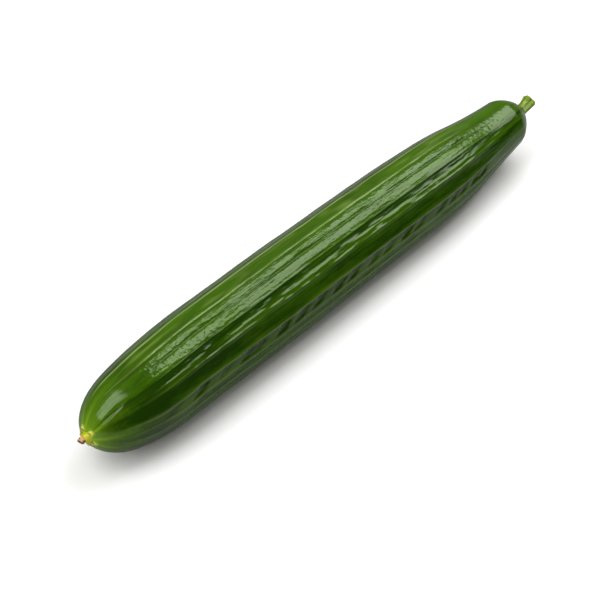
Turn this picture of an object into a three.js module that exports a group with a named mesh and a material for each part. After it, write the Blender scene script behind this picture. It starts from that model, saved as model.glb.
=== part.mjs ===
// A long green cucumber lying on its side, as picked: the ribbed fruit with its blossom scar and nipple,
// the stub of its stem, and the dried rest of the flower on the nipple.
// Millimetres. The blossom end points to -X, the stem to +X and +Z is up.
// Angles round the fruit are in degrees from its top, rising towards -Y, its front.

import * as THREE from 'three';

// Driving dimensions of the fruit
const LENGTH = 324; // from pole to pole along the axis
const AXIS_HEIGHT = 21.5; // of the fruit's thick part above the surface it lies on
const GAP = 0.3; // between the fruit and what is attached to it

// One row for each tenth of the length, from the blossom end on: the mean radius, and how far the axis
// stands above AXIS_HEIGHT and in front of the straight line
const STATIONS = [
  { radius: 22.9, rise: -0.4, front: 0.6 },
  { radius: 20.8, rise: 0.1, front: 1.4 },
  { radius: 21.4, rise: 0, front: 0 },
  { radius: 21.8, rise: 0, front: 0 },
  { radius: 22.0, rise: 0, front: 0 },
  { radius: 21.8, rise: 0, front: 0 },
  { radius: 21.6, rise: 0, front: 0 },
  { radius: 21.3, rise: 0, front: 0.3 },
  { radius: 19.9, rise: -0.2, front: 0.2 },
  { radius: 15.9, rise: 1.0, front: 0.7 },
  { radius: 12.8, rise: 4.0, front: 1.6 },
];

// The rounded ends: how far from the pole each reaches, and the power of its curve (2 is an ellipse)
const BLOSSOM_DOME = { length: 45, power: 2 };
const STEM_CAP = { length: 13.2, power: 1.33 };

// Ribs and furrows round the fruit: the middle of each, half its width in degrees, its height in mm, and
// the power of its profile: 1 comes to a sharp edge, 2 is round, and more is ever flatter in the middle
const RIBS = [
  { angle: -20.5, reach: 4.5, height: 0.3, power: 2 },
  { angle: -10, reach: 9, height: -0.2, power: 2 },
  { angle: -1, reach: 3.5, height: 0.16, power: 2 },
  { angle: 16.3, reach: 4.4, height: -0.6, power: 1 },
  { angle: 38.6, reach: 5.2, height: -0.45, power: 4 },
  { angle: 51, reach: 3, height: 0.3, power: 2 },
  { angle: 61, reach: 9, height: -0.2, power: 2 },
  { angle: 71.5, reach: 4, height: 0.35, power: 2 },
  { angle: 80, reach: 8, height: -0.25, power: 4 },
  { angle: 86, reach: 5, height: 0.2, power: 2 },
  { angle: 94, reach: 5, height: -0.35, power: 2 },
  { angle: 100, reach: 6, height: 0.4, power: 2 },
  { angle: 111, reach: 8, height: -0.4, power: 2 },
  { angle: 122, reach: 8, height: 0.45, power: 2 },
  { angle: 134, reach: 8, height: -0.5, power: 2 },
  { angle: 146, reach: 8, height: 0.4, power: 2 },
  { angle: 157, reach: 7, height: -0.35, power: 2 },
  { angle: 179, reach: 24, height: 0.4, power: 2 },
  { angle: 200, reach: 8, height: -0.4, power: 2 },
  { angle: 214, reach: 9, height: 0.4, power: 2 },
  { angle: 230, reach: 9, height: -0.5, power: 2 },
  { angle: 246, reach: 10, height: 0.45, power: 2 },
  { angle: 262, reach: 9, height: -0.45, power: 2 },
  { angle: 278, reach: 10, height: 0.45, power: 2 },
  { angle: 292, reach: 9, height: -0.5, power: 2 },
  { angle: 305, reach: 8, height: 0.4, power: 2 },
  { angle: 319, reach: 8, height: -0.4, power: 2 },
];
// The ribs swing to either side on their way along the fruit, as two waves added up
const RIB_WAVES = [
  { degrees: 0.5, length: 258, start: 0.6 },
  { degrees: 0.3, length: 107, start: 2.1 },
];
const SCAR_TURN = { degrees: -6, until: 30 }; // they also turn aside in the last stretch up to the scar
// Near the blossom scar the ribs rise to a faint share of their height by `faintBy`, and reach the whole
// of it at `fullBy`. They sink to a trace between two shares of the length at the stem end. In mm.
const RIB_START = { from: 2, faintBy: 14, faintShare: 0.4, fullBy: 58 };
const RIB_END = { from: 0.8, to: 0.93, traceShare: 0.15 };

// Bands of slanted dents between two ribs, one band on the front and one on the back
const DENT_BANDS = [
  { from: 73, to: 87 },
  { from: 252, to: 272 },
];
const DENT = { pitch: 12, width: 4.5, power: 4, depth: 0.5, slant: 9, firstAt: 34, lastAt: 270, seed: 7 };
const DENT_SPREAD = { depth: [0.5, 1], pitch: [0.55, 1.45] }; // least and greatest share of each

// The blossom end, from the nipple's tip out to the rim of the scar: radius, how far each ring stands out
// past the pole, and how strongly the scar's corners show in it
const BLOSSOM_RINGS = [
  { radius: 1.5, reach: 1.7, corners: 0 },
  { radius: 2, reach: 1.4, corners: 0 },
  { radius: 2.5, reach: 0.7, corners: 0 },
  { radius: 3, reach: -0.1, corners: 0.04 },
  { radius: 3.5, reach: -0.6, corners: 0.1 },
  { radius: 4.1, reach: -0.2, corners: 0.17 },
  { radius: 4.7, reach: -0.7, corners: 0.1 },
];
const SCAR_CORNERS = { count: 5, angle: 35 };
const NIPPLE_LEAN = 0.38; // rise of the nipple for each millimetre that it stands out

// The stem end, from the flat seat under the stem out to the rim round it
const STEM_RINGS = [
  { radius: 3.8, reach: -0.5, corners: 0 },
  { radius: 4.3, reach: -0.45, corners: 0 },
];
const STEM_SEAT = { down: 0, front: 0.3 }; // the stem sits this far off the pole

// The stem: five-angled, a little narrower behind its foot and flaring to the cut
const STEM = { length: 9.8, bend: 2.3, sides: 30, steps: 9, angles: 5, angleDepth: 0.09 };
const STEM_RADII = [3.3, 3.05, 3.1, 3.35, 3.75];
const STEM_LIP = { height: 0.14, reach: 50, from: 0.75 }; // a lip on top of the cut, in shares and degrees

// The dried flower: a small crumpled tuft
const FLOWER = { length: 1.9, droop: 0.8, sides: 12, lobes: 5, lobeDepth: 0.22, twist: 40 };
const FLOWER_RADII = [1.4, 1.9, 2.0, 2.0, 1.3];

// How finely the fruit's surface is divided
const BODY_STEP = 5; // mm along the body
const DOME_RINGS = { steps: 10, fromTurn: 15 }; // degrees round the dome's curve from the pole
const CAP_RINGS = { steps: 8, toTurn: 25 };
const RIB_COLUMNS = [0, -0.5, 0.5, -0.95, 0.95]; // shares of a rib's reach that get a line of points
const COLUMN_GAP = 3.2; // the least angle between two such lines

const radians = THREE.MathUtils.degToRad;
const { clamp, lerp, smoothstep } = THREE.MathUtils;

// A repeatable run of random numbers from 0 to 1
function randomRun(seed) {
  let state = seed;
  return () => {
    state = (1664525 * state + 1013904223) % 4294967296;
    return state / 4294967296;
  };
}

// A smooth curve through evenly spaced values, read at a share from 0 to 1 of its length
function curveThrough(values) {
  const curve = new THREE.SplineCurve(values.map((value, index) => new THREE.Vector2(index, value)));
  return (share) => curve.getPoint(clamp(share, 0, 1)).y;
}

const radiusAt = curveThrough(STATIONS.map((station) => station.radius));
const riseAt = curveThrough(STATIONS.map((station) => station.rise));
const frontAt = curveThrough(STATIONS.map((station) => station.front));

// How much of the full radius a rounded end has, at a distance from its pole
function roundedEnd(end, distance) {
  return Math.sqrt(1 - Math.pow(1 - clamp(distance / end.length, 0, 1), end.power));
}

function meanRadius(x) {
  return radiusAt(x / LENGTH) * roundedEnd(BLOSSOM_DOME, x) * roundedEnd(STEM_CAP, LENGTH - x);
}

function axisPoint(x) {
  return new THREE.Vector3(x - LENGTH / 2, -frontAt(x / LENGTH), AXIS_HEIGHT + riseAt(x / LENGTH));
}

// The axis, and the directions along it, up and to the front, at a distance x from the blossom pole
function axisFrame(x) {
  const step = 0.05;
  const from = axisPoint(clamp(x - step, 0, LENGTH));
  const to = axisPoint(clamp(x + step, 0, LENGTH));
  const along = to.sub(from).normalize();
  const front = new THREE.Vector3().crossVectors(along, new THREE.Vector3(0, 0, 1)).normalize();
  const up = new THREE.Vector3().crossVectors(front, along);
  return { centre: axisPoint(x), along, front, up };
}

function angleBetween(a, b) {
  return THREE.MathUtils.euclideanModulo(a - b + 180, 360) - 180;
}

// A hump, 1 in the middle and 0 from one reach away, with the power of its profile as in RIBS
function hump(offset, reach, power = 2) {
  const out = clamp(Math.abs(offset) / reach, 0, 1);
  return (1 - out ** power) ** 2;
}

// Where the dents lie along each band, at uneven distances, and how deep each is
function makeDents() {
  const random = randomRun(DENT.seed);
  const dents = [];
  for (const band of DENT_BANDS) {
    let x = DENT.firstAt;
    while (x < DENT.lastAt) {
      dents.push({ band, x, depth: DENT.depth * lerp(...DENT_SPREAD.depth, random()) });
      x += DENT.pitch * lerp(...DENT_SPREAD.pitch, random());
    }
  }
  return dents;
}

const dents = makeDents();

// A dent runs slanting across its band: its upper end lies further towards the stem
function dentDepth(x, angle) {
  let depth = 0;
  for (const dent of dents) {
    const middle = (dent.band.from + dent.band.to) / 2;
    const reach = (dent.band.to - dent.band.from) / 2;
    const across = angleBetween(angle, middle);
    const along = x - dent.x + (DENT.slant * across) / (2 * reach);
    if (Math.abs(across) < reach && Math.abs(along) < DENT.width) {
      depth += dent.depth * hump(across, reach, DENT.power) * hump(along, DENT.width, DENT.power);
    }
  }
  return depth;
}

// How far round the ribs have moved from their own angles
function ribSwing(x) {
  let swing = SCAR_TURN.degrees * (1 - smoothstep(x, 0, SCAR_TURN.until));
  for (const wave of RIB_WAVES) {
    swing += wave.degrees * Math.sin((2 * Math.PI * x) / wave.length + wave.start);
  }
  return swing;
}

// How far the ribs, furrows and dents stand out from the mean radius
function relief(x, angle) {
  const swing = ribSwing(x);
  let height = -dentDepth(x, angle);
  for (const rib of RIBS) {
    height += rib.height * hump(angleBetween(angle, rib.angle + swing), rib.reach, rib.power);
  }
  const faint = RIB_START.faintShare * smoothstep(x, RIB_START.from, RIB_START.faintBy);
  const rest = (1 - RIB_START.faintShare) * smoothstep(x, RIB_START.faintBy, RIB_START.fullBy);
  const sink = (1 - RIB_END.traceShare) * smoothstep(x, RIB_END.from * LENGTH, RIB_END.to * LENGTH);
  return height * (faint + rest) * (1 - sink);
}

// The columns run along the crest, the flanks and the feet of each rib, as far as they keep COLUMN_GAP
function columnAngles() {
  const kept = [];
  for (const share of RIB_COLUMNS) {
    for (const rib of RIBS) {
      const angle = rib.angle + share * rib.reach;
      if (kept.every((other) => Math.abs(angleBetween(angle, other)) >= COLUMN_GAP)) kept.push(angle);
    }
  }
  return kept.sort((a, b) => a - b);
}

// Distances of the rings from the blossom pole, closer together towards both ends
function ringDistances() {
  const distances = [];
  for (let i = 0; i < DOME_RINGS.steps; i += 1) {
    const turn = radians(lerp(DOME_RINGS.fromTurn, 90, i / DOME_RINGS.steps));
    distances.push(BLOSSOM_DOME.length * (1 - Math.cos(turn)));
  }
  const bodyEnd = LENGTH - STEM_CAP.length;
  const bodySteps = Math.round((bodyEnd - BLOSSOM_DOME.length) / BODY_STEP);
  for (let i = 0; i < bodySteps; i += 1) {
    distances.push(lerp(BLOSSOM_DOME.length, bodyEnd, i / bodySteps));
  }
  for (let i = 0; i <= CAP_RINGS.steps; i += 1) {
    const turn = radians(lerp(90, CAP_RINGS.toTurn, i / CAP_RINGS.steps));
    distances.push(LENGTH - STEM_CAP.length * (1 - Math.cos(turn)));
  }
  return distances;
}

function ringPoint(frame, radius, angle) {
  const turn = radians(angle);
  return frame.centre
    .clone()
    .addScaledVector(frame.up, radius * Math.cos(turn))
    .addScaledVector(frame.front, radius * Math.sin(turn));
}

// One ring of the fruit's skin. What would reach below the surface it lies on is pressed flat there.
function skinRing(x, angles) {
  const frame = axisFrame(x);
  return angles.map((angle) => {
    const point = ringPoint(frame, meanRadius(x) + relief(x, angle), angle);
    point.z = Math.max(point.z, 0);
    return point;
  });
}

// A ring of the small forms at a pole. outward is -1 at the blossom end and 1 at the stem end.
function poleRing(row, x, outward, angles) {
  const frame = axisFrame(x);
  frame.centre.addScaledVector(frame.along, outward * row.reach);
  if (outward < 0) frame.centre.addScaledVector(frame.up, NIPPLE_LEAN * Math.max(row.reach, 0));
  if (outward > 0) {
    frame.centre.addScaledVector(frame.up, -STEM_SEAT.down).addScaledVector(frame.front, STEM_SEAT.front);
  }
  return angles.map((angle) => {
    const corner = Math.cos(radians(SCAR_CORNERS.count * (angle - SCAR_CORNERS.angle)));
    return ringPoint(frame, row.radius * (1 + row.corners * corner), angle);
  });
}

// A closed body through rings of equally many points, each ring turning from up to the front, with the
// rings in order along the axis and a fan over both ends
function loft(rings) {
  const sides = rings[0].length;
  const positions = rings.flat().flatMap((point) => point.toArray());
  const triangles = [];
  for (let row = 0; row + 1 < rings.length; row += 1) {
    for (let side = 0; side < sides; side += 1) {
      const next = (side + 1) % sides;
      const here = row * sides;
      const beyond = here + sides;
      triangles.push(here + side, here + next, beyond + next);
      triangles.push(here + side, beyond + next, beyond + side);
    }
  }
  const middleOf = (ring) => {
    const sum = new THREE.Vector3();
    for (const point of ring) sum.add(point);
    return sum.divideScalar(sides);
  };
  positions.push(...middleOf(rings[0]).toArray(), ...middleOf(rings.at(-1)).toArray());
  const first = rings.length * sides;
  const last = first + 1;
  const lastRow = (rings.length - 1) * sides;
  for (let side = 0; side < sides; side += 1) {
    const next = (side + 1) % sides;
    triangles.push(first, next, side);
    triangles.push(last, lastRow + side, lastRow + next);
  }
  const geometry = new THREE.BufferGeometry();
  geometry.setAttribute('position', new THREE.Float32BufferAttribute(positions, 3));
  geometry.setIndex(triangles);
  geometry.computeVertexNormals();
  return geometry;
}

function makeFruit() {
  const angles = columnAngles();
  const rings = [
    ...BLOSSOM_RINGS.map((row) => poleRing(row, 0, -1, angles)),
    ...ringDistances().map((x) => skinRing(x, angles)),
    ...STEM_RINGS.toReversed().map((row) => poleRing(row, LENGTH, 1, angles)),
  ];
  const material = new THREE.MeshStandardMaterial({ color: 0x33590f, roughness: 0.3, metalness: 0 });
  const fruit = new THREE.Mesh(loft(rings), material);
  fruit.name = 'fruit';
  return fruit;
}

// Rings along a short piece that starts out from a seat and bends up (or down) as it goes
function stubRings(seat, outward, options) {
  const rings = [];
  for (let i = 0; i <= options.steps; i += 1) {
    const share = i / options.steps;
    const slope = (2 * options.bend * share) / options.length;
    const along = seat.along.clone().multiplyScalar(outward).addScaledVector(seat.up, slope).normalize();
    const frame = {
      centre: seat.centre
        .clone()
        .addScaledVector(seat.along, outward * share * options.length)
        .addScaledVector(seat.up, options.bend * share * share),
      front: seat.front,
      up: new THREE.Vector3().crossVectors(seat.front, along).multiplyScalar(outward),
    };
    rings.push(options.angles.map((angle) => ringPoint(frame, options.radius(share, angle), angle)));
  }
  return outward > 0 ? rings : rings.reverse();
}

function evenAngles(count) {
  return Array.from({ length: count }, (_, index) => (360 * index) / count);
}

function makeStem() {
  const seat = axisFrame(LENGTH);
  seat.centre
    .addScaledVector(seat.along, STEM_RINGS[0].reach + GAP)
    .addScaledVector(seat.up, -STEM_SEAT.down)
    .addScaledVector(seat.front, STEM_SEAT.front);
  const thickness = curveThrough(STEM_RADII);
  const radius = (share, angle) => {
    const angles = 1 + STEM.angleDepth * Math.cos(radians(STEM.angles * angle));
    const nearTop = hump(angleBetween(angle, 0), STEM_LIP.reach);
    const lip = 1 + STEM_LIP.height * smoothstep(share, STEM_LIP.from, 1) * nearTop;
    return thickness(share) * angles * lip;
  };
  const rings = stubRings(seat, 1, {
    steps: STEM.steps,
    length: STEM.length,
    bend: STEM.bend,
    angles: evenAngles(STEM.sides),
    radius,
  });
  const material = new THREE.MeshStandardMaterial({ color: 0x86a32b, roughness: 0.6, metalness: 0 });
  const stem = new THREE.Mesh(loft(rings), material);
  stem.name = 'stem';
  return stem;
}

function makeFlowerRemnant() {
  const tip = BLOSSOM_RINGS[0];
  const seat = axisFrame(0);
  seat.centre
    .addScaledVector(seat.along, -(tip.reach + GAP))
    .addScaledVector(seat.up, NIPPLE_LEAN * tip.reach);
  const thickness = curveThrough(FLOWER_RADII);
  const radius = (share, angle) => {
    const turned = radians(FLOWER.lobes * (angle + FLOWER.twist * share));
    return thickness(share) * (1 + FLOWER.lobeDepth * share * Math.cos(turned));
  };
  const rings = stubRings(seat, -1, {
    steps: FLOWER_RADII.length - 1,
    length: FLOWER.length,
    bend: -FLOWER.droop,
    angles: evenAngles(FLOWER.sides),
    radius,
  });
  const material = new THREE.MeshStandardMaterial({ color: 0x7a5532, roughness: 0.9, metalness: 0 });
  const remnant = new THREE.Mesh(loft(rings), material);
  remnant.name = 'blossom_remnant';
  return remnant;
}

const cucumber = new THREE.Group();
cucumber.add(makeFruit(), makeStem(), makeFlowerRemnant());

// The origin is the middle of the whole object on the surface that it lies on
const middle = new THREE.Box3().setFromObject(cucumber).getCenter(new THREE.Vector3());
cucumber.position.set(-middle.x, -middle.y, 0);

export default cucumber;
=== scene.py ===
"""A long green cucumber on a pale surface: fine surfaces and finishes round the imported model.

Lengths on the fruit are in millimetres, as in the part's source, and MM turns them into metres. Those of the
bumps, the floor and the panels are in metres.
Angles round the fruit are in degrees from its top, rising towards -Y, its front.
"""
import math

import bpy
import numpy as np
from mathutils import Matrix, Vector


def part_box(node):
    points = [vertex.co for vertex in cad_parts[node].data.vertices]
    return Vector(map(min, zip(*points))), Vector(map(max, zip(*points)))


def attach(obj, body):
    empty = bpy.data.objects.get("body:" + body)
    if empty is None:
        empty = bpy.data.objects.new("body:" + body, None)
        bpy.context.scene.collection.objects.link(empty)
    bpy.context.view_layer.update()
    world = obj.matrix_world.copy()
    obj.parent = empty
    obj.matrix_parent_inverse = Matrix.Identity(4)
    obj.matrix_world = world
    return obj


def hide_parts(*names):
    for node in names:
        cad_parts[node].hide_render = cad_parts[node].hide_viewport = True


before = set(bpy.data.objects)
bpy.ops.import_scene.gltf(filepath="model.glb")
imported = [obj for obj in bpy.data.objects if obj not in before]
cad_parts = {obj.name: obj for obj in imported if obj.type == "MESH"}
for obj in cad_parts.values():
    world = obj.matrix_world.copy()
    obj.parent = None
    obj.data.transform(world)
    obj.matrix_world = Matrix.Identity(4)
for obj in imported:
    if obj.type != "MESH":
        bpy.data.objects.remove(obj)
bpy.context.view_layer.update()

MM = 0.001

# The fruit's driving dimensions, the same as those of its solid
LENGTH = 324.0
AXIS_HEIGHT = 21.5
STATION_RADIUS = [22.9, 20.8, 21.4, 21.8, 22.0, 21.8, 21.6, 21.3, 19.9, 15.9, 12.8]
STATION_RISE = [-0.4, 0.1, 0, 0, 0, 0, 0, 0, -0.2, 1.0, 4.0]
STATION_FRONT = [0.6, 1.4, 0, 0, 0, 0, 0, 0.3, 0.2, 0.7, 1.6]
DOME_LENGTH, DOME_POWER = 45, 2
CAP_LENGTH, CAP_POWER = 13.2, 1.33
GAP = 0.3

# Ribs and furrows: middle and half width in degrees, height in mm, and the power of their profile:
# 1 comes to a sharp edge, 2 is round, and more is ever flatter across the middle. They are the solid's,
# but for those at -1 and 15.9 degrees, which are a little lower and a little deeper. RIB_UNEVEN is how much
# the height of each changes on its way.
RIBS = [
    (-20.5, 4.5, 0.3, 2), (-10, 9, -0.2, 2), (-1, 3.5, 0.12, 2), (15.9, 5.6, -0.72, 1),
    (51, 3, 0.3, 2), (61, 9, -0.2, 2), (71.5, 4, 0.35, 2),
    (80, 8, -0.25, 4), (86, 5, 0.2, 2), (94, 5, -0.35, 2), (100, 6, 0.4, 2), (111, 8, -0.4, 2),
    (122, 8, 0.45, 2), (134, 8, -0.5, 2), (146, 8, 0.4, 2), (157, 7, -0.35, 2), (179, 24, 0.4, 2),
    (200, 8, -0.4, 2), (214, 9, 0.4, 2), (230, 9, -0.5, 2), (246, 10, 0.45, 2), (262, 9, -0.45, 2),
    (278, 10, 0.45, 2), (292, 9, -0.5, 2), (305, 8, 0.4, 2), (319, 8, -0.4, 2),
]
RIB_UNEVEN, RIB_CELL, RIB_SEED = 0.25, 17, 100
# The flat furrow below the middle of the front, as a row of RIBS. It is shallower and less even than the
# solid's, and fades to a share of its height near the stem end.
FURROW = (38.6, 5.2, -0.3, 7)
FURROW_UNEVEN, FURROW_CELL, FURROW_SEED = 0.7, 8, 400
FURROW_FADE, FURROW_END_SHARE = (225, 262), 0.35
# Thin raised lines: middle and half width in degrees, height in mm, and how far each wanders in degrees
LINES = [
    (29.9, 1.8, -0.05, 0.5), (32.7, 1.7, 0.07, 0.3), (42.4, 1.6, 0.08, 0.8), (46, 1.8, 0.1, 1.5),
    (49, 1.8, 0.1, 1.2), (100, 2.2, 0.1, 0.6), (122, 2.4, 0.15, 0.8), (146, 2.4, 0.15, 0.8),
    (214, 2.4, 0.15, 0.8), (246, 2.4, 0.15, 0.8), (278, 2.4, 0.15, 0.8), (305, 2.2, 0.15, 0.6),
]
LINE_UNEVEN, LINE_CELL, LINE_SEED = 0.4, 11, 300
WANDER_CELL, WANDER_SEED = 13, 200
# The swing of the ribs as waves: degrees, length in mm and start. Near the scar they turn aside as well.
RIB_WAVES = [(0.5, 258, 0.6), (0.3, 107, 2.1)]
SCAR_TURN, SCAR_TURN_UNTIL = -6, 30
# Where the ribs start and end. They are fainter on the dome than the solid's.
RIB_START = dict(start=2, faint_by=14, faint_share=0.2, full_by=62)
RIB_END = dict(start=0.8, end=0.93, trace_share=0.15)

# A crease that runs from the blossom scar's corner, from one distance and angle to another, with a furrow
# above it, whose depth, place and width are shares of the crease's
CREASE_FROM, CREASE_TO = (1.5, 40), (19, 33)
CREASE_HEIGHT, CREASE_REACH = 0.3, 4.5
CREASE_FURROW = dict(depth=0.8, place=1.5, width=1.4)
CREASE_MIDDLE, CREASE_HALF = 0.45, 0.6

# Small waves in the skin: layers of noise as height, length of a cell in mm, cells round the fruit and seed,
# and the share of full height at angles round the fruit
RIPPLES = [(0.10, 8, 80, 11), (0.045, 3.5, 150, 12)]
RIPPLE_FADE_POWER = 1.5
WAVES = [
    (-40, 0.5), (0, 0.35), (33, 0.35), (37, 0.2), (40, 2.4), (51, 2.4), (54, 0.15), (68, 0.15), (72, 0.7),
    (105, 0.8), (180, 0.6), (260, 0.8),
]
# The share of full height of the small pits and wrinkles at angles round the fruit
PITS = [(-30, 0.2), (2, 0.2), (7, 1), (28, 1), (32, 0.15), (68, 0.1), (75, 0.4), (180, 0.4), (300, 0.4)]
PITS_START, PITS_SINK, PITS_LOST = (26, 36), (70, 120), 0.55
# Wrinkles come in patches of noise, of a cell length, cells round and seed, and end near the stem
WRINKLE_PATCH, WRINKLE_MEAN, WRINKLE_SPREAD, WRINKLE_MOST = (14, 40, 41), 0.6, 1.3, 1.4
WRINKLE_END = (255, 285)

# Slanted dents in a band on the front and one on the back, a little deeper than the solid's
DENT_BANDS = [(73, 87), (252, 272)]
DENT_PITCH, DENT_WIDTH, DENT_DEPTH, DENT_SLANT = 12, 4.5, 0.65, 9
DENT_POWER = 4
DENT_FIRST, DENT_LAST, DENT_SEED = 34, 270, 7
DENT_DEPTH_SPREAD, DENT_PITCH_SPREAD = (0.5, 1.0), (0.55, 1.45)
RANDOM_FACTOR, RANDOM_STEP, RANDOM_RANGE = 1664525, 1013904223, 4294967296

# The ends of the fruit: radius, how far the ring stands out past the pole, and the scar's corners in it.
# The last row at the blossom end is where the skin begins.
BLOSSOM_ROWS = [
    (0.05, 1.85, 0), (0.8, 1.85, 0), (1.5, 1.7, 0), (2.0, 1.4, 0), (2.5, 0.7, 0), (3.0, -0.1, 0.04),
    (3.5, -0.6, 0.1), (4.1, -0.2, 0.17), (4.7, -0.7, 0.1), (5.3, -1.1, 0),
]
STEM_ROWS = [(4.6, -0.65, 0), (4.3, -0.45, 0), (3.8, -0.5, 0), (2.0, -0.55, 0), (0.05, -0.55, 0)]
SCAR_CORNERS, SCAR_ANGLE = 5, 35
NIPPLE_LEAN = 0.38
# The rows that the flower and the stem sit on, how far in front of the pole the stem is, and how far above
# its row
FLOWER_ROW, STEM_ROW = 2, -2
STEM_FRONT, STEM_CLEARANCE = 0.3, 0.05

# The stem stub: its length, how far its end bends up, its angles and their depth, its radius on the way, and
# how far it reaches into its seat. Then the lip on top of its cut, and the dish in the cut.
STEM_LENGTH, STEM_BEND, STEM_ANGLES, STEM_ANGLE_DEPTH = 9.8, 2.3, 5, 0.09
STEM_RADII = [3.3, 3.05, 3.1, 3.35, 3.75]
STEM_SINK = 0.6
LIP_HEIGHT, LIP_REACH, LIP_FROM = 0.14, 50, 0.75
CUT_DISH, CUT_DISH_EDGE, CUT_MIDDLE = 0.35, (0.02, 0.5), 0.02
CUT_FROM, CUT_EDGE, PITH_EDGE = 0.97, (0.0, 0.05), (0.75, 0.5)
STEM_GROOVE_SHARE, STEM_GROOVE_AT, STEM_GROOVE_REACH = 0.8, 180, 70

# The dried flower: its length, droop, lobes and twist, its radius on the way, how far it reaches into the
# nipple as a share of its length, and its crumpling as height, cells along, cells round and seed. It is
# thinner than its solid.
FLOWER_LENGTH, FLOWER_DROOP, FLOWER_LOBES, FLOWER_LOBE_DEPTH, FLOWER_TWIST = 1.9, 0.8, 5, 0.22, 40
FLOWER_RADII = [1.3, 1.6, 1.6, 1.5, 1.0]
FLOWER_SINK = 0.15
CRUMPLE_HEIGHT, CRUMPLE_CELLS, CRUMPLE_ROUND, CRUMPLE_SEED = 0.10, 8, 14, 31
FLOWER_TIP_FROM = 0.55
# Painted shade on the flower's underside: how dark, its middle angle and half width
UNDER_SHARE, UNDER_AT, UNDER_REACH = 0.85, 150, 105

# How finely the pieces are divided. The fruit has columns from one angle to another, in degrees apart, and
# rings in mm apart, with steps of turn on its dome and cap.
COLUMN_ZONES = [(-30, 106, 0.65), (106, 330, 1.75)]
BODY_STEP = 1.4
DOME_STEPS, DOME_FIRST_TURN = 38, 16
CAP_STEPS, CAP_LAST_TURN = 20, 27
BLOSSOM_STEPS, STEM_STEPS = 27, 8
STUB_SIDES, STUB_STEPS, CUT_STEPS = 120, 60, 16
FLOWER_SIDES, FLOWER_STEPS = 90, 44
NOISE_MARGIN = 4

# How light the green is, from 0 to 1, at angles round the fruit, and layers of noise in it, as in RIPPLES
# The darker values in the furrows and on the front band below the highlight are partly painted shade; the
# rest is the green's own stripes.
SHADES = [
    (-42, 0.35), (-28, 0.45), (-23, 0.75), (-18, 0.7), (-2, 0.75), (3.5, 0.6), (8, 0.75), (16.5, 0.6),
    (22, 0.75), (31, 0.75), (34, 0.15), (39, 0.15), (42, 0.5), (50, 0.5), (53, 0.2), (68, 0.15), (72, 0.45),
    (77, 0.3), (87, 0.5), (94, 0.25), (100, 0.55), (111, 0.3), (122, 0.6), (134, 0.3), (146, 0.6),
    (157, 0.4), (179, 0.6), (200, 0.3), (214, 0.6), (230, 0.3), (246, 0.6), (262, 0.3), (278, 0.6),
    (292, 0.3), (305, 0.6),
]
TONE_LAYERS = [(0.12, 60, 30, 21), (0.10, 22, 120, 22), (0.10, 6, 90, 23)]
# Darker places: in front near the blossom end, round the middle of the dome, and painted shade in the dents
DARK_SIDE, DARK_SIDE_FADE, DARK_SIDE_AT, DARK_SIDE_REACH = 0.3, (60, 90), 50, 24
DARK_RING, DARK_RING_AT, DARK_RING_REACH = 0.25, 27, 13
DENT_PAINTED_SHADE = 0.6
# Painted highlights, as pale lines along the crests: middle and half width in degrees, how pale, and how far
# each wanders in degrees
PAINTED_HIGHLIGHT_LINES = [
    (-23, 3.6, 0.85, 0.8), (0.2, 2, 0.3, 0.6), (49, 2, 0.06, 1.2), (73, 2.5, 0.2, 1.2), (88, 3, 0.12, 1.5),
    (101, 3, 0.14, 1.2), (122, 2.4, 0.2, 0.8), (146, 2.4, 0.2, 0.8), (214, 2.4, 0.2, 0.8),
    (246, 2.4, 0.2, 0.8), (278, 2.4, 0.2, 0.8), (305, 2.2, 0.2, 0.6),
]
PALE_UNEVEN, PALE_CELL, PALE_SEED, PALE_WANDER_SEED = 0.3, 14, 500, 400
PALE_START, PALE_END = (4, 30), (240, 290)
# Painted reflection, as pale patches near the top: layer of noise, what is taken off it, how pale, middle
# and half width
PATCH_LAYER, PATCH_FLOOR, PATCH_SHARE, PATCH_AT, PATCH_REACH = (1, 12, 60, 51), 0.1, 0.3, -9, 16

# The scar: the edge of its yellow as where it starts and ends, each with how far its corners stand out,
# its dark groove with the pit low in front, and its pale outline. Then the glow round it, whose sizes are
# how strong it is and how many mm it fades over, and the angles and half width of its rays.
SCAR_EDGE_START, SCAR_EDGE_END = (3.9, 0.5), (4.9, 0.6)
SCAR_GROOVE_RADIUS, SCAR_GROOVE_HALF = 3.4, 0.9
SCAR_GROOVE_LEAST, PIT_AT, PIT_REACH = 0.35, 112, 45
CREST_SHARE, CREST_RADIUS, CREST_CORNERS, CREST_HALF = 0.8, 4.1, 0.17, 0.5
GLOW, RAY_GLOW = (0.85, 3.5), (0.5, 9)
SCAR_RAYS, RAY_REACH = [-37, -12, 38, 75, 107, 143, 179, 251], 8

# Colours as seen on a screen, from 0 to 255
# The pale green is that of the painted highlights and painted reflection on the skin
DARK_GREEN, LIGHT_GREEN, HIGHLIGHT_PALE_GREEN, LIME = (24, 50, 2), (62, 99, 5), (152, 172, 92), (112, 150, 22)
SCAR_DARK, SCAR_LIGHT = (156, 160, 18), (200, 200, 56)
SCAR_GROOVE, SCAR_CREST = (104, 112, 12), (226, 228, 120)
STEM_DARK, STEM_LIGHT, STEM_GROOVE = (82, 110, 8), (150, 176, 48), (58, 82, 2)
CUT_RIM, CUT_PITH = (120, 128, 50), (190, 196, 120)
FLOWER_DARK, FLOWER_LIGHT = (84, 48, 22), (206, 160, 112)
# The last colour is the flower's underside, darker as painted shade
FLOWER_TIP, FLOWER_UNDER_SHADE = (70, 42, 20), (74, 42, 22)

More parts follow.
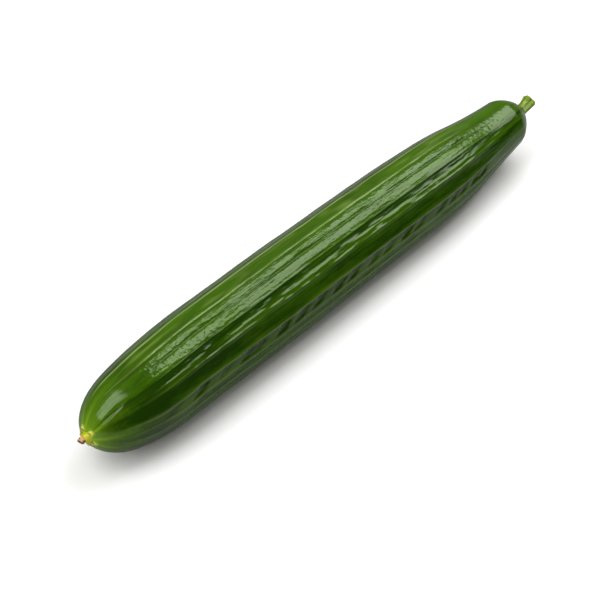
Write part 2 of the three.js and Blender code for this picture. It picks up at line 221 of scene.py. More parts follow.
# Patterns of noise in the materials: scale along the fruit as a share of that across, scale, detail and
# roughness. STREAK_TONE and MOTTLE_TONE are how far they lighten and darken the green.
STREAKS, STREAK_TONE = (0.05, 900, 3.0, 0.6), 0.12
MOTTLE, MOTTLE_TONE = (0.3, 220, 3.0, 0.5), 0.07
WEAR = (0.5, 400, 2.0, 0.5)
FIBRES = (0.08, 1600, 3.0, 0.6)
BLOTCHES = (1.0, 900, 3.0, 0.6)
PAPER_GRAIN = (1.0, 30, 2.0, 0.5)
# The part of each pattern's values, from 0 to 1, that its colours are spread over
PATTERN_SPREAD, SCAR_SPREAD, BLOTCH_SPREAD = (0.3, 0.7), (0.35, 0.65), (0.4, 0.6)
# Small bumps in the skin: pattern, height as a share of SKIN_BUMP's, and which of the skin's shares it takes
SKIN_BUMPS = [
    ((0.8, 620, 1.0, 0.4), 1.0, "pitted"),
    ((0.14, 900, 2.0, 0.5), 1.3, "wrinkled"),
    ((0.8, 3200, 2.0, 0.5), 0.04, None),
]
# Bumps: strength, and height in metres
SKIN_BUMP, STEM_BUMP, FLOWER_BUMP = (1.0, 0.00045), (0.8, 0.00015), (0.8, 0.0002)
SKIN_ROUGHNESS, STEM_ROUGHNESS, FLOWER_ROUGHNESS = (0.10, 0.15), 0.5, 0.85
SKIN_IOR, SKIN_SHINE_TINT = 1.46, (0.88, 1.0, 0.72, 1)

# The floor in metres: its size and the greys that the camera sees. All other light meets darker greys there,
# one in front of the fruit and one behind it, which change over UNSEEN_CHANGE.
FLOOR_SIZE, PAPER_GREYS = 6.0, (0.86, 0.88)
UNSEEN_GREYS, UNSEEN_CHANGE = (0.36, 0.2), 0.05
FLOOR_ROUGHNESS, FLOOR_SHINE = 0.9, 0.1

# The room's light: what it lights the scene with, and what the skin mirrors of it in front, and behind it
# low down and high up. The latter is reached at HIGH_FROM, and front and back meet over BACK_BLEND.
ROOM_LIGHT, ROOM_SEEN, ROOM_COLOUR = 0.43, 1.0, (1, 0.985, 0.93, 1)
MIRRORED_FRONT, MIRRORED_HIGH, MIRRORED_LOW = 0.005, 0.09, 0.2
HIGH_FROM, BACK_BLEND = 0.55, 0.25

# Soft panels overhead in metres: low corner, high corner, height and radiance
STEM_SIDE_PANEL = ((0.10, -0.30), (0.70, 0.27), 0.6, 4.4)
FILL_PANEL = ((-1.20, -0.40), (-0.70, 0.10), 0.55, 5.0)
BLOSSOM_SIDE_PANEL = ((-1.00, -0.10), (-0.19, 0.30), 0.6, 4.0)
# Strips beside the first panel, from the front backwards, each shorter than the last
STRIPS, STRIP_LEFT, STRIP_RIGHT, STRIP_SHORTER = 4, 0.70, 0.97, 0.045
STRIP_FRONT, STRIP_WIDTH, STRIP_HEIGHT, STRIP_RADIANCE = -0.48, 0.175, 0.6, 4.2

# The camera, fitted to the object's outline in the picture: it looks at a point on the ground
VIEW_AZIMUTH, VIEW_ELEVATION = -49.4, 40.4
VIEW_DISTANCE = 825.6
VIEW_TARGET = (-12.9, 5.2)
LENS, SENSOR = 100.0, 36.0
CLIP_START, CLIP_END = 0.05, 20


def smoothstep(x, low, high):
    share = np.clip((x - low) / (high - low), 0, 1)
    return share * share * (3 - 2 * share)


def cut_away(x, low, high):
    return 1 - smoothstep(x, low, high)


def angle_between(a, b):
    return (a - b + 180) % 360 - 180


def hump(offset, reach, power=2):
    """1 in the middle and 0 from one reach away, with the power of its profile as in RIBS."""
    out = np.clip(np.abs(offset) / reach, 0, 1)
    return (1 - out ** power) ** 2


def curve_through(values, share):
    """A smooth curve through evenly spaced values or rows of values, read at shares of its length."""
    values = np.asarray(values, float)
    last = len(values) - 1
    place = np.clip(share, 0, 1) * last
    i = np.clip(np.floor(place).astype(int), 0, last - 1)
    t = place - i
    before, here = values[np.maximum(i - 1, 0)], values[i]
    there, after = values[i + 1], values[np.minimum(i + 2, last)]
    if values.ndim == 2:
        t = np.asarray(t)[..., None]
    leave, arrive = (there - before) / 2, (after - here) / 2
    cubic = (2 * here - 2 * there + leave + arrive) * t ** 3
    square = (3 * there - 3 * here - 2 * leave - arrive) * t ** 2
    return cubic + square + leave * t + here


def random_run(seed):
    """A repeatable run of random numbers from 0 to 1, the same one that places the solid's dents."""
    state = seed
    while True:
        state = (RANDOM_FACTOR * state + RANDOM_STEP) % RANDOM_RANGE
        yield state / RANDOM_RANGE


def noise(x, angle, step, cells_round, seed):
    """Smooth noise from -1 to 1 on the skin: one cell is step mm long, and cells_round go round it."""
    rows = int(LENGTH / step) + 3 * NOISE_MARGIN
    table = np.random.default_rng(seed).uniform(-1, 1, (rows, cells_round))
    along, across = np.broadcast_arrays(x / step + NOISE_MARGIN, (angle % 360) / 360 * cells_round)
    i, j = np.floor(along).astype(int), np.floor(across).astype(int)
    u, v = along - i, across - j
    u, v = u * u * (3 - 2 * u), v * v * (3 - 2 * v)
    i = np.clip(i, 0, len(table) - 2)
    j, k = j % cells_round, (j + 1) % cells_round
    low = table[i, j] * (1 - v) + table[i, k] * v
    high = table[i + 1, j] * (1 - v) + table[i + 1, k] * v
    return low * (1 - u) + high * u


def noise_along(x, angle, step, seed):
    """Noise that changes along the fruit and is the same all round it."""
    return noise(x, 0 * angle, step, 1, seed)


def layers(table, x, angle):
    """Layers of noise added up, from rows of height, length of a cell, cells round and seed."""
    return sum(high * noise(x, angle, step, cells_round, seed) for high, step, cells_round, seed in table)


# The form of the fruit

def mean_radius(x):
    dome = np.sqrt(1 - (1 - np.clip(x / DOME_LENGTH, 0, 1)) ** DOME_POWER)
    cap = np.sqrt(1 - (1 - np.clip((LENGTH - x) / CAP_LENGTH, 0, 1)) ** CAP_POWER)
    return curve_through(STATION_RADIUS, x / LENGTH) * dome * cap


def axis_point(x):
    share = x / LENGTH
    front = curve_through(STATION_FRONT, share)
    rise = curve_through(STATION_RISE, share)
    return np.stack([x - LENGTH / 2, -front, AXIS_HEIGHT + rise], -1)


def axis_frame(x):
    """The axis, and the directions along it, up and to the front, at distances x from the blossom pole."""
    step = 0.05
    along = axis_point(np.clip(x + step, 0, LENGTH)) - axis_point(np.clip(x - step, 0, LENGTH))
    along /= np.linalg.norm(along, axis=-1, keepdims=True)
    front = np.cross(along, [0.0, 0.0, 1.0])
    front /= np.linalg.norm(front, axis=-1, keepdims=True)
    return axis_point(x), along, np.cross(front, along), front


def rib_swing(x):
    swing = SCAR_TURN * cut_away(x, 0, SCAR_TURN_UNTIL)
    for size, length, start in RIB_WAVES:
        swing = swing + size * np.sin(2 * np.pi * x / length + start)
    return swing


def make_dents():
    draw = random_run(DENT_SEED)
    dents = []
    for band in DENT_BANDS:
        x = DENT_FIRST
        while x < DENT_LAST:
            low, high = DENT_DEPTH_SPREAD
            dents.append((band, x, DENT_DEPTH * (low + (high - low) * next(draw))))
            low, high = DENT_PITCH_SPREAD
            x += DENT_PITCH * (low + (high - low) * next(draw))
    return dents


def dent_depth(x, angle):
    depth = np.zeros(np.broadcast(x, angle).shape)
    for (low, high), middle, deep in make_dents():
        reach = (high - low) / 2
        across = angle_between(angle, (low + high) / 2)
        along = x - middle + DENT_SLANT * across / (2 * reach)
        depth += deep * hump(across, reach, DENT_POWER) * hump(along, DENT_WIDTH, DENT_POWER)
    return depth


def rib_fade(x):
    """The ribs' share of their full height: faint round the blossom scar, a trace at the stem end."""
    faint = RIB_START["faint_share"]
    start = faint * smoothstep(x, RIB_START["start"], RIB_START["faint_by"])
    start = start + (1 - faint) * smoothstep(x, RIB_START["faint_by"], RIB_START["full_by"])
    sink = smoothstep(x, RIB_END["start"] * LENGTH, RIB_END["end"] * LENGTH)
    return start * (1 - (1 - RIB_END["trace_share"]) * sink)


def relief(x, angle):
    """How far the skin stands out from the mean radius: the solid's ribs and dents, and finer lines."""
    height = -dent_depth(x, angle)
    swing = rib_swing(x)
    for number, (middle, reach, high, power) in enumerate(RIBS):
        uneven = 1 + RIB_UNEVEN * noise_along(x, angle, RIB_CELL, RIB_SEED + number)
        height = height + high * uneven * hump(angle_between(angle, middle + swing), reach, power)
    middle, reach, high, power = FURROW
    uneven = 1 + FURROW_UNEVEN * noise_along(x, angle, FURROW_CELL, FURROW_SEED)
    uneven = uneven * (FURROW_END_SHARE + (1 - FURROW_END_SHARE) * cut_away(x, *FURROW_FADE))
    height = height + high * uneven * hump(angle_between(angle, middle + swing), reach, power)
    for number, (middle, reach, high, wander) in enumerate(LINES):
        place = middle + swing + wander * noise_along(x, angle, WANDER_CELL, WANDER_SEED + number)
        uneven = 1 - LINE_UNEVEN + LINE_UNEVEN * noise_along(x, angle, LINE_CELL, LINE_SEED + number)
        height = height + high * uneven * hump(angle_between(angle, place), reach)
    return height * rib_fade(x)


def around(table, x, angle):
    """The value of a table of angles and values, whose angles swing with the ribs."""
    turns, values = zip(*table)
    return np.interp(angle - rib_swing(x), turns, values, period=360)


def ripple(x, angle):
    """Low waves and small bumps on the ribs, which break up what they mirror."""
    fade = rib_fade(x) ** RIPPLE_FADE_POWER * around(WAVES, x, angle)
    return fade * layers(RIPPLES, x, angle)


def crease(x, angle):
    """A raised line with a furrow above it, from the scar's corner along the dome."""
    along = (x - CREASE_FROM[0]) / (CREASE_TO[0] - CREASE_FROM[0])
    offset = angle_between(angle, CREASE_FROM[1] + (CREASE_TO[1] - CREASE_FROM[1]) * along)
    place, width = CREASE_FURROW["place"] * CREASE_REACH, CREASE_FURROW["width"] * CREASE_REACH
    line = hump(offset, CREASE_REACH) - CREASE_FURROW["depth"] * hump(offset + place, width)
    return CREASE_HEIGHT * line * hump(along - CREASE_MIDDLE, CREASE_HALF)


def skin_height(x, angle):
    return relief(x, angle) + ripple(x, angle) + crease(x, angle)


def column_angles():
    zones = []
    for low, high, step in COLUMN_ZONES:
        zones.append(np.linspace(low, high, round((high - low) / step), endpoint=False))
    return np.concatenate(zones)


def ring_distances():
    turns = np.radians(np.linspace(DOME_FIRST_TURN, 90, DOME_STEPS, endpoint=False))
    dome = DOME_LENGTH * (1 - np.cos(turns))
    body_end = LENGTH - CAP_LENGTH
    count = round((body_end - DOME_LENGTH) / BODY_STEP)
    body = np.linspace(DOME_LENGTH, body_end, count, endpoint=False)
    turns = np.radians(np.linspace(90, CAP_LAST_TURN, CAP_STEPS))
    cap = LENGTH - CAP_LENGTH * (1 - np.cos(turns))
    return np.concatenate([dome, body, cap])


def ring_points(centre, up, front, radius, angle):
    """Points at radius and angle round centre. centre, up and front are one row for each ring."""
    turn = np.radians(angle)[..., None]
    sideways = np.cos(turn) * up[:, None, :] + np.sin(turn) * front[:, None, :]
    return centre[:, None, :] + radius[..., None] * sideways


def star(angle):
    """The scar's outline: from -1 in its sides to 1 in its corners."""
    return np.cos(np.radians(SCAR_CORNERS * (angle - SCAR_ANGLE)))


def pole_rings(rows, x, outward, steps, angles):
    """Rings of the small forms at a pole, through rows of radius, reach and corners."""
    radius, reach, corners = curve_through(rows, np.linspace(0, 1, steps)).T
    centre, along, up, front = axis_frame(np.full(steps, x))
    centre = centre + along * (outward * reach)[:, None]
    if outward < 0:
        centre = centre + up * (NIPPLE_LEAN * np.clip(reach, 0, None))[:, None]
    else:
        centre = centre + STEM_FRONT * front
    wide = radius[:, None] * (1 + corners[:, None] * star(angles)[None, :])
    return ring_points(centre, up, front, wide, np.broadcast_to(angles, wide.shape))


def mesh_from_rings(name, rings, attributes):
    """A closed mesh through rings of equally many points, in order along the axis, with closed ends.

    attributes are named values for each point of the rings, for the material to read.
    """
    rows, sides = rings.shape[:2]
    ends = [rings[0].mean(0), rings[-1].mean(0)]
    points = np.vstack([rings.reshape(-1, 3), ends]) * MM
    side = np.arange(sides)
    following = (side + 1) % sides
    faces = []
    for row in range(rows - 1):
        here, beyond = row * sides, (row + 1) * sides
        faces += np.stack([here + side, here + following, beyond + following, beyond + side], 1).tolist()
    first, last = rows * sides, rows * sides + 1
    last_row = (rows - 1) * sides
    faces += np.stack([np.full(sides, first), following, side], 1).tolist()
    faces += np.stack([np.full(sides, last), last_row + side, last_row + following], 1).tolist()
    mesh = bpy.data.meshes.new(name)
    mesh.from_pydata(points.tolist(), [], faces)
    mesh.polygons.foreach_set("use_smooth", np.ones(len(mesh.polygons), bool))
    for label, values in attributes.items():
        flat = np.concatenate([values.ravel(), [values[0].mean(), values[-1].mean()]])
        mesh.attributes.new(label, "FLOAT", "POINT").data.foreach_set("value", flat.astype(np.float32))
    mesh.update()
    piece = bpy.data.objects.new(name, mesh)
    bpy.context.scene.collection.objects.link(piece)
    return piece


# Materials

def new_material(name):
    material = bpy.data.materials.new(name)
    material.use_nodes = True
    tree = material.node_tree
    return material, tree, tree.nodes["Principled BSDF"]


def set_input(tree, socket, value):
    """Links a socket to another one, or sets it to a value."""
    if isinstance(value, bpy.types.NodeSocket):
        tree.links.new(value, socket)
    else:
        socket.default_value = value


def node(tree, kind, inputs=None, **settings):
    made = tree.nodes.new("ShaderNode" + kind)
    for key, value in settings.items():
        setattr(made, key, value)
    for key, value in (inputs or {}).items():
        set_input(tree, made.inputs[key], value)
    return made


def colour(screen):
    """A colour as seen on a screen, from 0 to 255, as linear light."""
    def linear(value):
        value = value / 255
        return value / 12.92 if value <= 0.04045 else ((value + 0.055) / 1.055) ** 2.4
    red, green, blue = screen
    return (linear(red), linear(green), linear(blue), 1.0)


def grey(value):
    return (value, value, value, 1)


def value_of(tree, name):
    return node(tree, "Attribute", attribute_name=name).outputs["Fac"]


def math_node(tree, operation, a, b, clamp=False):
    return node(tree, "Math", {0: a, 1: b}, operation=operation, use_clamp=clamp).outputs[0]


def choose(tree, share, a, b, kind="FLOAT"):
    """a where share is 0 and b where it is 1. kind is FLOAT for numbers and RGBA for colours."""
    mixed = node(tree, "Mix", data_type=kind)
    socket_type = {"FLOAT": "VALUE", "RGBA": "RGBA"}[kind]
    for key, value, wanted in (("Factor", share, "VALUE"), ("A", a, socket_type), ("B", b, socket_type)):
        socket = next(s for s in mixed.inputs if s.name == key and s.type == wanted)
        set_input(tree, socket, value)
    return next(s for s in mixed.outputs if s.type == socket_type)


def mix_colours(tree, share, a, b):
    return choose(tree, share, a, b, "RGBA")


def pattern(tree, along, scale, detail, roughness):
    """Noise in the object's own coordinates, drawn out along the fruit where along is below 1."""
    place = node(tree, "TexCoord").outputs["Object"]
    place = node(tree, "Mapping", {"Vector": place, "Scale": (along, 1.0, 1.0)}).outputs[0]
    inputs = {"Vector": place, "Scale": scale, "Detail": detail, "Roughness": roughness}
    return node(tree, "TexNoise", inputs).outputs[0]


def span(tree, value, low, high, to_low=0.0, to_high=1.0):
    inputs = {0: value, 1: low, 2: high, 3: to_low, 4: to_high}
    return node(tree, "MapRange", inputs, interpolation_type="SMOOTHSTEP").outputs[0]


def add_bump(tree, shader, height, strength, distance):
    bump = node(tree, "Bump", {"Strength": strength, "Distance": distance, "Height": height})
    tree.links.new(bump.outputs[0], shader.inputs["Normal"])


def skin_bumps(tree):
    """Small pits towards the blossom end, fine wrinkles along the fruit and a trace of grain."""
    total = 0.0
    for numbers, share, name in SKIN_BUMPS:
        height = pattern(tree, *numbers)
        if name:
            height = math_node(tree, "MULTIPLY", height, value_of(tree, name))
        total = math_node(tree, "ADD", total, math_node(tree, "MULTIPLY", height, share))
    return total


def skin_green(tree, mottle):
    """The green, from dark to light by its tone, with the painted highlights and painted reflection in pale
    green, and the lime round the scar.
    """
    streaks = pattern(tree, *STREAKS)
    streaks = span(tree, streaks, *PATTERN_SPREAD, -STREAK_TONE, STREAK_TONE)
    mottling = span(tree, mottle, *PATTERN_SPREAD, -MOTTLE_TONE, MOTTLE_TONE)
    tone = math_node(tree, "ADD", value_of(tree, "tone"), streaks)
    tone = math_node(tree, "ADD", tone, mottling, clamp=True)
    green = mix_colours(tree, tone, colour(DARK_GREEN), colour(LIGHT_GREEN))
    # Painted highlights and painted reflection, in pale green
    green = mix_colours(tree, value_of(tree, "pale"), green, colour(HIGHLIGHT_PALE_GREEN))
    return mix_colours(tree, value_of(tree, "lime"), green, colour(LIME))


def scar_yellow(tree, mottle):
    yellow = mix_colours(tree, span(tree, mottle, *SCAR_SPREAD), colour(SCAR_DARK), colour(SCAR_LIGHT))
    yellow = mix_colours(tree, value_of(tree, "crater"), yellow, colour(SCAR_GROOVE))
    return mix_colours(tree, value_of(tree, "crest"), yellow, colour(SCAR_CREST))


def skin_material():
    material, tree, shader = new_material("cucumber_skin")
    mottle = pattern(tree, *MOTTLE)
    skin = mix_colours(tree, value_of(tree, "scar"), skin_green(tree, mottle), scar_yellow(tree, mottle))
    tree.links.new(skin, shader.inputs["Base Color"])
    roughness = span(tree, pattern(tree, *WEAR), *PATTERN_SPREAD, *SKIN_ROUGHNESS)
    tree.links.new(roughness, shader.inputs["Roughness"])
    shader.inputs["IOR"].default_value = SKIN_IOR
    shader.inputs["Specular Tint"].default_value = SKIN_SHINE_TINT
    add_bump(tree, shader, skin_bumps(tree), *SKIN_BUMP)
    return material


def stem_material():
    material, tree, shader = new_material("stem_stub")
    fibres = pattern(tree, *FIBRES)
    green = mix_colours(tree, span(tree, fibres, *PATTERN_SPREAD), colour(STEM_DARK), colour(STEM_LIGHT))
    green = mix_colours(tree, value_of(tree, "groove"), green, colour(STEM_GROOVE))
    cut = mix_colours(tree, value_of(tree, "pith"), colour(CUT_RIM), colour(CUT_PITH))
    tree.links.new(mix_colours(tree, value_of(tree, "cut"), green, cut), shader.inputs["Base Color"])
    shader.inputs["Roughness"].default_value = STEM_ROUGHNESS
    add_bump(tree, shader, fibres, *STEM_BUMP)
    return material


def flower_material():
    material, tree, shader = new_material("dried_flower")
    blotches = pattern(tree, *BLOTCHES)
    dry = mix_colours(tree, span(tree, blotches, *BLOTCH_SPREAD), colour(FLOWER_DARK), colour(FLOWER_LIGHT))
    dry = mix_colours(tree, value_of(tree, "tip"), dry, colour(FLOWER_TIP))
    # Painted shade on the underside
    dry = mix_colours(tree, value_of(tree, "under"), dry, colour(FLOWER_UNDER_SHADE))
    tree.links.new(dry, shader.inputs["Base Color"])
    shader.inputs["Roughness"].default_value = FLOWER_ROUGHNESS
    add_bump(tree, shader, blotches, *FLOWER_BUMP)
    return material


# What the materials read from the pieces

def skin_tone(x, angle):
    """How light the green is: bands that go with the ribs, partly painted shade in the furrows, painted
    shade in the dents, and fine streaks along the fruit.
    """
    side = hump(angle_between(angle, DARK_SIDE_AT), DARK_SIDE_REACH)
    side = DARK_SIDE * cut_away(x, *DARK_SIDE_FADE) * side
    ring = DARK_RING * hump(x - DARK_RING_AT, DARK_RING_REACH)
    # Painted shade in the dents
    dents = DENT_PAINTED_SHADE * np.clip(dent_depth(x, angle) / DENT_DEPTH, 0, 1)
    return around(SHADES, x, angle) + layers(TONE_LAYERS, x, angle) - ring - side - dents


def painted_highlight_lines(x, angle):
    """Painted highlights as thin pale lines along the crests, broken here and there, and painted reflection
    as pale patches near the top.
    """
    lines = 0
    for number, (middle, reach, pale, wander) in enumerate(PAINTED_HIGHLIGHT_LINES):
        aside = wander * noise_along(x, angle, WANDER_CELL, PALE_WANDER_SEED + number)
        broken = 1 - PALE_UNEVEN + PALE_UNEVEN * noise_along(x, angle, PALE_CELL, PALE_SEED + number)
        place = middle + rib_swing(x) + aside
        lines = lines + pale * broken * hump(angle_between(angle, place), reach)
    patches = np.clip(layers([PATCH_LAYER], x, angle) - PATCH_FLOOR, 0, 1)
    lines = lines + PATCH_SHARE * patches * hump(angle_between(angle, PATCH_AT), PATCH_REACH)
    return np.clip(lines, 0, 1) * smoothstep(x, *PALE_START) * cut_away(x, *PALE_END)


def scar_share(radius, angle):
    (start, start_corners), (end, end_corners) = SCAR_EDGE_START, SCAR_EDGE_END
    return cut_away(radius, start + start_corners * star(angle), end + end_corners * star(angle))


def crater_share(radius, angle):
    """How dark the scar is: its groove, and most of all the pit low in front."""
    pit = hump(angle_between(angle, PIT_AT), PIT_REACH)
    groove = hump(radius - SCAR_GROOVE_RADIUS, SCAR_GROOVE_HALF)
    return groove * (SCAR_GROOVE_LEAST + (1 - SCAR_GROOVE_LEAST) * pit)


def crest_share(radius, angle):
    """The pale raised outline of the scar."""
    return CREST_SHARE * hump(radius - CREST_RADIUS * (1 + CREST_CORNERS * star(angle)), CREST_HALF)


def scar_glow(x, angle):
    """Yellow-green round the scar, reaching further out along a few rays."""
    rays = sum(hump(angle_between(angle, ray), RAY_REACH) for ray in SCAR_RAYS)
    (strength, fade), (ray_strength, ray_fade) = GLOW, RAY_GLOW
    return np.clip(strength * np.exp(-x / fade) + ray_strength * rays * np.exp(-x / ray_fade), 0, 1)


def pitted_share(x, angle):
    """How deep the pits are: none near the blossom scar, and shallower along the body."""
    return around(PITS, x, angle) * smoothstep(x, *PITS_START) * (1 - PITS_LOST * smoothstep(x, *PITS_SINK))


def wrinkled_share(x, angle):
    """How deep the wrinkles are: in patches, and none at the stem end."""
    patches = WRINKLE_MEAN + WRINKLE_SPREAD * noise(x, angle, *WRINKLE_PATCH)
    share = around(PITS, x, angle) * rib_fade(x) * cut_away(x, *WRINKLE_END)
    return share * np.clip(patches, 0, WRINKLE_MOST)


def skin_attributes(x, angle, scar_radius):
    """Each point's values. scar_radius is the ring's radius in the scar, and far outside it elsewhere."""
    return {
        "tone": skin_tone(x, angle),
        # Where the painted highlights and painted reflection lie
        "pale": painted_highlight_lines(x, angle),
        "lime": scar_glow(x, angle),
        "scar": scar_share(scar_radius, angle),
        "crater": crater_share(scar_radius, angle),
        "crest": crest_share(scar_radius, angle),
        "pitted": pitted_share(x, angle),
        "wrinkled": wrinkled_share(x, angle),
    }


# Pieces

def make_fruit():
    angles = column_angles()
    x = ring_distances()
    xs, turned = np.meshgrid(x, angles, indexing="ij")
    centre, along, up, front = axis_frame(x)
    skin = ring_points(centre, up, front, mean_radius(xs) + skin_height(xs, turned), turned)
    skin[..., 2] = np.maximum(skin[..., 2], 0)
    scar_rows, (skin_radius, _, _) = BLOSSOM_ROWS[:-1], BLOSSOM_ROWS[-1]
    blossom = pole_rings(scar_rows, 0.0, -1, BLOSSOM_STEPS, angles)
    stem_end = pole_rings(STEM_ROWS, LENGTH, 1, STEM_STEPS, angles)
    rings = np.concatenate([blossom, skin, stem_end])
    all_x = np.concatenate([np.zeros(BLOSSOM_STEPS), x, np.full(STEM_STEPS, LENGTH)])
    xs, turned = np.meshgrid(all_x, angles, indexing="ij")
    scar_radius = np.full(len(all_x), 2 * skin_radius)
    scar_radius[:BLOSSOM_STEPS] = curve_through(scar_rows, np.linspace(0, 1, BLOSSOM_STEPS))[:, 0]
    return mesh_from_rings("cucumber_skin", rings, skin_attributes(xs, turned, scar_radius[:, None]))


def stub_rings(seat, outward, share, length, bend, radius, angles):
    """Rings along a short piece that starts out from a seat and bends up or down as it goes."""
    centre, along, up, front = (part[0] for part in seat)
    slope = 2 * bend * share / length
    way = outward * along[None] + slope[:, None] * up[None]
    way /= np.linalg.norm(way, axis=1, keepdims=True)
    places = centre + outward * along * (share * length)[:, None] + up * (bend * share ** 2)[:, None]
    fronts = np.repeat(front[None], len(share), 0)
    ups = outward * np.cross(fronts, way)
    return ring_points(places, ups, fronts, radius, np.broadcast_to(angles, radius.shape))


def make_stem():
    angles = np.arange(STUB_SIDES) * 360 / STUB_SIDES
    centre, along, up, front = axis_frame(np.array([LENGTH]))
    reach = STEM_ROWS[STEM_ROW][1] + STEM_CLEARANCE + GAP
    seat = (centre + reach * along + STEM_FRONT * front, along, up, front)
    share = np.concatenate([np.linspace(-STEM_SINK / STEM_LENGTH, 1, STUB_STEPS), np.ones(CUT_STEPS)])
    inward = np.concatenate([np.ones(STUB_STEPS), np.linspace(CUT_FROM, CUT_MIDDLE, CUT_STEPS)])
    shape = 1 + STEM_ANGLE_DEPTH * np.cos(np.radians(STEM_ANGLES * angles))
    lip = LIP_HEIGHT * smoothstep(share, LIP_FROM, 1)[:, None] * hump(angle_between(angles, 0), LIP_REACH)
    radius = curve_through(STEM_RADII, share)[:, None] * shape[None] * (1 + lip) * inward[:, None]
    dished = share - CUT_DISH * smoothstep(1 - inward, *CUT_DISH_EDGE) / STEM_LENGTH
    rings = stub_rings(seat, 1, dished, STEM_LENGTH, STEM_BEND, radius, angles)
    row = np.ones_like(radius)
    groove = hump(angle_between(STEM_ANGLES * angles, STEM_GROOVE_AT), STEM_GROOVE_REACH)
    attributes = {
        "groove": groove[None] * row * STEM_GROOVE_SHARE,
        "cut": smoothstep(1 - inward, *CUT_EDGE)[:, None] * row,
        "pith": smoothstep(inward, *PITH_EDGE)[:, None] * row,
    }
    return mesh_from_rings("stem_stub", rings, attributes)


def make_flower():
    angles = np.arange(FLOWER_SIDES) * 360 / FLOWER_SIDES
    centre, along, up, front = axis_frame(np.array([0.0]))
    reach = BLOSSOM_ROWS[FLOWER_ROW][1]
    seat = (centre - (reach + GAP) * along + NIPPLE_LEAN * reach * up, along, up, front)
    share = np.linspace(-FLOWER_SINK, 1, FLOWER_STEPS)
    turned = FLOWER_LOBES * (angles[None] + FLOWER_TWIST * share[:, None])
    lobes = 1 + FLOWER_LOBE_DEPTH * share[:, None] * np.cos(np.radians(turned))
    uneven = noise(share[:, None] * CRUMPLE_CELLS, angles[None], 1.0, CRUMPLE_ROUND, CRUMPLE_SEED)
    radius = curve_through(FLOWER_RADII, share)[:, None] * lobes * (1 + CRUMPLE_HEIGHT * uneven)
    rings = stub_rings(seat, -1, share, FLOWER_LENGTH, -FLOWER_DROOP, radius, angles)
    row = np.ones_like(radius)
    tip = smoothstep(share, FLOWER_TIP_FROM, 1)[:, None] * row
    # Painted shade on the underside
    under = UNDER_SHARE * hump(angle_between(angles, UNDER_AT), UNDER_REACH)[None] * row
    return mesh_from_rings("dried_flower", rings[::-1], {"tip": tip[::-1], "under": under[::-1]})


def mesh_box(piece):
    places = np.array([vertex.co for vertex in piece.data.vertices])
    return Vector(places.min(0)), Vector(places.max(0))


def box_middle(low, high):
    return (low + high) / 2


def finish_pieces():
    """Makes the pieces, puts them where the solids are and hides the solid that each replaces."""
    fruit, stem, flower = make_fruit(), make_stem(), make_flower()
    shift = box_middle(*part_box("fruit")) - box_middle(*mesh_box(fruit))
    shift.z = 0
    for piece, cad_node, slot, material in (
        (fruit, "fruit", "skin", skin_material()),
        (stem, "stem", "stem", stem_material()),
        (flower, "blossom_remnant", "dried_flower", flower_material()),
    ):
        piece.data.transform(Matrix.Translation(shift))
        piece.data.materials.append(material)
        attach(piece, "root")
        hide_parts(cad_node)
    return shift


# Surroundings

def make_floor():
    bpy.ops.mesh.primitive_plane_add(size=FLOOR_SIZE, location=(0, 0, 0))
    floor = bpy.context.object
    floor.name = "floor"
    material, tree, shader = new_material("floor")
    seen_low, seen_high = PAPER_GREYS
    paper = mix_colours(tree, pattern(tree, *PAPER_GRAIN), grey(seen_low), grey(seen_high))
    seen = node(tree, "LightPath").outputs["Is Camera Ray"]
    place = node(tree, "SeparateXYZ", {0: node(tree, "TexCoord").outputs["Object"]}).outputs["Y"]
    in_front, behind = UNSEEN_GREYS
    unseen = mix_colours(tree, span(tree, place, 0.0, UNSEEN_CHANGE), grey(in_front), grey(behind))
    tree.links.new(mix_colours(tree, seen, unseen, paper), shader.inputs["Base Color"])
    shader.inputs["Roughness"].default_value = FLOOR_ROUGHNESS
    shader.inputs["Specular IOR Level"].default_value = FLOOR_SHINE
    floor.data.materials.append(material)


def add_panel(name, low, high, height, radiance, mirrored=True, lights=True):
    """A soft level panel overhead, from corner low to corner high.

    Without mirrored, shiny things don't mirror it. Without lights, it lights nothing but what they mirror.
    """
    size = (high[0] - low[0], high[1] - low[1])
    data = bpy.data.lights.new(name, "AREA")
    data.shape = "RECTANGLE"
    data.size, data.size_y = size
    data.energy = radiance * math.pi * size[0] * size[1]
    lamp = bpy.data.objects.new(name, data)
    lamp.location = ((low[0] + high[0]) / 2, (low[1] + high[1]) / 2, height)
    lamp.visible_camera = False
    lamp.visible_glossy = mirrored
    lamp.visible_diffuse = lights
    bpy.context.scene.collection.objects.link(lamp)


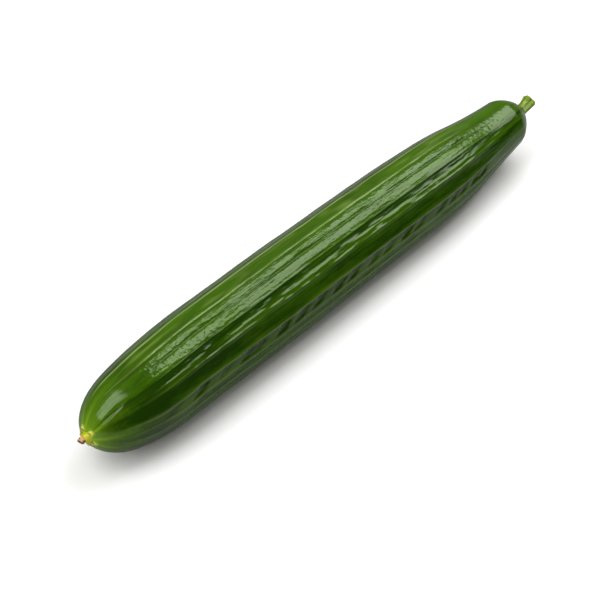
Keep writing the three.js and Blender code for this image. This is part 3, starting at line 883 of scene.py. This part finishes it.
def make_panels():
    add_panel("panel_stem_side", *STEM_SIDE_PANEL)
    for strip in range(STRIPS):
        low = (STRIP_LEFT, STRIP_FRONT + STRIP_WIDTH * strip)
        high = (STRIP_RIGHT - STRIP_SHORTER * strip, STRIP_FRONT + STRIP_WIDTH * (strip + 1))
        add_panel("panel_stem_end_%d" % strip, low, high, STRIP_HEIGHT, STRIP_RADIANCE, lights=False)
    add_panel("panel_fill", *FILL_PANEL, mirrored=False)
    add_panel("panel_blossom_side", *BLOSSOM_SIDE_PANEL)


def make_world():
    """Even light; what the skin mirrors is dark in front and pale low down behind."""
    world = bpy.data.worlds.new("studio")
    bpy.context.scene.world = world
    world.use_nodes = True
    tree = world.node_tree
    way = node(tree, "TexCoord").outputs["Generated"]
    back = node(tree, "VectorMath", {0: way, 1: (0, 1, 0)}, operation="DOT_PRODUCT").outputs["Value"]
    height = node(tree, "SeparateXYZ", {0: way}).outputs["Z"]
    behind = span(tree, height, 0.0, HIGH_FROM, MIRRORED_LOW, MIRRORED_HIGH)
    mirrored = choose(tree, span(tree, back, -BACK_BLEND, BACK_BLEND), MIRRORED_FRONT, behind)
    path = node(tree, "LightPath").outputs
    strength = choose(tree, path["Is Glossy Ray"], ROOM_LIGHT, mirrored)
    strength = choose(tree, path["Is Camera Ray"], strength, ROOM_SEEN)
    background = tree.nodes["Background"]
    background.inputs["Color"].default_value = ROOM_COLOUR
    tree.links.new(strength, background.inputs["Strength"])


def make_camera(origin):
    """origin is the ground under the middle of the fruit's axis, from which VIEW_TARGET is measured."""
    azimuth, elevation = math.radians(VIEW_AZIMUTH), math.radians(VIEW_ELEVATION)
    level = math.cos(elevation)
    back = Vector((math.sin(azimuth) * level, -math.cos(azimuth) * level, math.sin(elevation)))
    data = bpy.data.cameras.new("camera")
    data.lens, data.sensor_width, data.sensor_fit = LENS, SENSOR, "HORIZONTAL"
    data.clip_start, data.clip_end = CLIP_START, CLIP_END
    camera = bpy.data.objects.new("camera", data)
    camera.location = origin + Vector(VIEW_TARGET).to_3d() * MM + back * VIEW_DISTANCE * MM
    camera.rotation_mode = "QUATERNION"
    camera.rotation_quaternion = (-back).to_track_quat("-Z", "Y")
    bpy.context.scene.collection.objects.link(camera)
    bpy.context.scene.camera = camera


ground = finish_pieces()
make_floor()
make_world()
make_panels()
make_camera(ground)
bpy.context.scene.view_settings.view_transform = "Standard"
